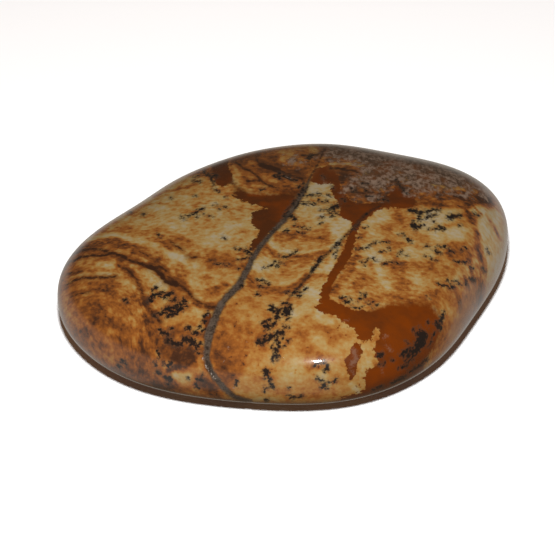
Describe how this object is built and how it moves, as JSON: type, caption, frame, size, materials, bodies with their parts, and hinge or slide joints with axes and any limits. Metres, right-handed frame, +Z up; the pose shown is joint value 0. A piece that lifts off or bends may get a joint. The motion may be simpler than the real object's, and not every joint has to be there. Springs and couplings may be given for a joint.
{
  "type": "tumbled picture jasper pebble",
  "caption": "Flat rounded pebble of polished picture jasper with a small flat foot, cream and brown with dark dendrites and a grey vein.",
  "frame": {"origin": "on the resting surface, under the middle of the bounding box", "axes": "+Z up, +X along the longer side of the plan, +Y across it"},
  "size_m": [0.0614, 0.052, 0.018],
  "materials": {
    "polished_jasper": "polished"
  },
  "bodies": {
    "root": {"stone": "polished_jasper"}
  },
  "joints": []
}
